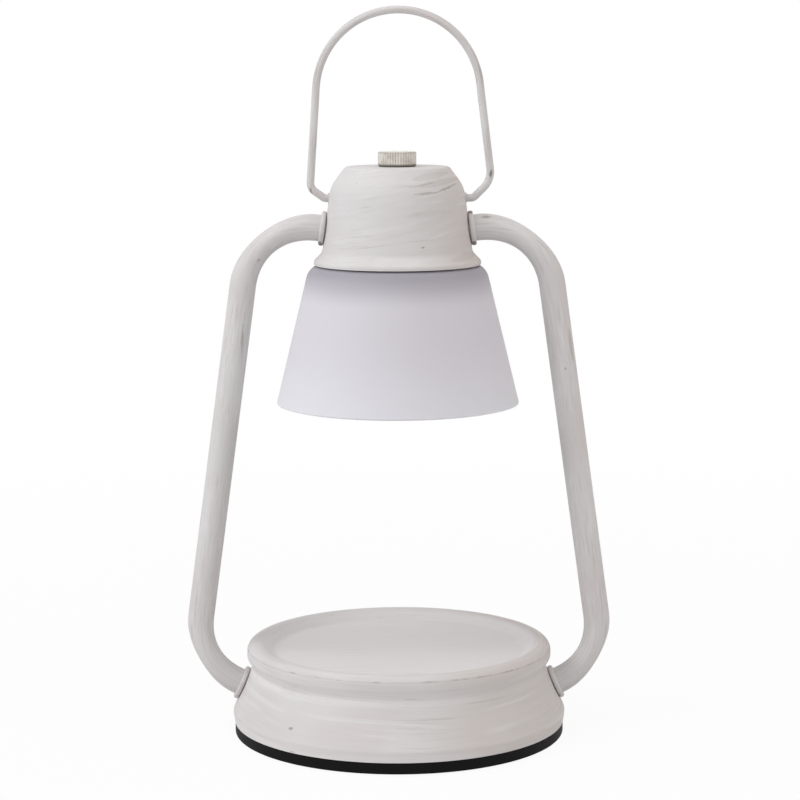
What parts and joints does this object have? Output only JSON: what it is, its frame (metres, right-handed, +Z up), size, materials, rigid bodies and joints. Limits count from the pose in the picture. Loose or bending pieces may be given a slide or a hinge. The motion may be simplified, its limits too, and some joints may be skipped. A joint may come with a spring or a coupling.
{
  "type": "candle warmer lamp",
  "caption": "Lantern-shaped lamp: a bulb under a frosted glass shade warms a jar candle on the round base; bent arm tubes, a swinging wire handle and a knurled knob.",
  "frame": {"origin": "on the ground, under the centre of the round base", "axes": "+Z up; the two arms and the handle's pivot line lie along X; -Y is the front, and the cord inlet is at the back on +Y"},
  "size_m": [0.1688, 0.1328, 0.2875],
  "materials": {
    "off_white_paint": "satin",
    "knob_steel": "satin",
    "black_plastic": "matte",
    "soft_pad": "matte",
    "plain_steel": "satin",
    "ballast_iron": "matte",
    "holder_plastic": "satin",
    "white_plastic": "satin",
    "ceramic": "matte",
    "contact_brass": "satin",
    "wire_sleeve": "satin",
    "frosted_glass": "matte",
    "bulb_glass": "gloss",
    "clear_glass": "gloss",
    "pin_steel": "satin"
  },
  "bodies": {
    "lamp": {"base_shell": "off_white_paint", "bottom_cover": "black_plastic", "foot_pad": "soft_pad", "cover_tabs": "plain_steel", "cover_screws": "plain_steel", "ballast_disc": "ballast_iron", "ballast_screws": "plain_steel", "cord_grommet": "soft_pad", "terminal_block": "white_plastic", "terminal_screws": "contact_brass", "lead_wires": "wire_sleeve", "arm_tube_right": "off_white_paint", "arm_tube_left": "off_white_paint", "lower_collar_right": "off_white_paint", "lower_collar_left": "off_white_paint", "upper_collar_right": "off_white_paint", "upper_collar_left": "off_white_paint", "lower_arm_nuts": "plain_steel", "upper_arm_nuts": "plain_steel", "cap_shell": "off_white_paint", "handle_bushes": "off_white_paint", "threaded_nipple": "plain_steel", "nipple_washer": "plain_steel", "nipple_locknut": "plain_steel", "lampholder_body": "holder_plastic", "lampholder_insert": "ceramic", "lampholder_contacts": "contact_brass", "shade_gasket": "soft_pad", "shade_ring_nut": "holder_plastic", "glass_shade": "frosted_glass"},
    "handle": {"handle_bail": "off_white_paint"},
    "knob": {"top_knob": "knob_steel"},
    "bulb": {"bulb_base": "ceramic", "bulb_pins": "pin_steel", "bulb_reflector": "bulb_glass", "bulb_lens": "clear_glass", "bulb_capsule": "clear_glass"}
  },
  "joints": [
    {"name": "handle_swing", "type": "hinge", "parent": "lamp", "child": "handle", "pos_m": [0, 0, 0.2132], "axis": [1, 0, 0], "range_deg": [-138, 138]},
    {"name": "knob_turn", "type": "hinge", "parent": "lamp", "child": "knob", "pos_m": [0, 0, 0.228], "axis": [0, 0, 1], "continuous": true},
    {"name": "bulb_twist", "type": "hinge", "parent": "lamp", "child": "bulb", "pos_m": [0, 0, 0.195], "axis": [0, 0, 1], "range_deg": [-20, 0]}
  ]
}
